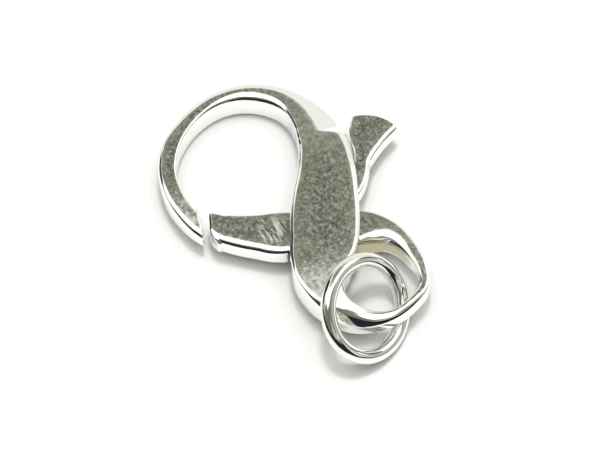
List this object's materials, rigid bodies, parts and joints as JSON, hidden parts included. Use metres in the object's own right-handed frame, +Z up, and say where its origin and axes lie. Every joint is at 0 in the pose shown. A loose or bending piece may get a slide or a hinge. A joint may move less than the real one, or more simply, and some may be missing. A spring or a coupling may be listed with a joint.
{
  "type": "lobster clasp",
  "caption": "Figure-of-eight lobster clasp: a hook loop closed by a sprung thumb lever, and a tail loop with a round jump ring through it.",
  "frame": {"origin": "middle of the bounding box, on the floor the clasp lies on", "axes": "+X from the hook loop towards the tail loop, +Y towards the side of the thumb tab, +Z up from the floor"},
  "size_m": [0.0218, 0.0152, 0.0055],
  "materials": {
    "cast_silver": "cast silver, tumbled bright, with faint pitting and fine scratches on the broad faces",
    "pin_silver": "drawn silver wire, cut flush",
    "polished_silver": "drawn silver wire, high polish"
  },
  "bodies": {
    "case": {"body": "cast_silver", "pivot_pin": "pin_silver", "jump_ring": "polished_silver"},
    "gate": {"lever": "cast_silver"}
  },
  "joints": [
    {"name": "gate_pivot", "type": "hinge", "parent": "case", "child": "gate", "pos_m": [0.00085, -0.00034, 0.00204], "axis": [0.0449, -0.0151, -0.9989], "range_deg": [0, 22], "stiffness_Nm_per_rad": 0.01, "springref_deg": -17.19}
  ]
}
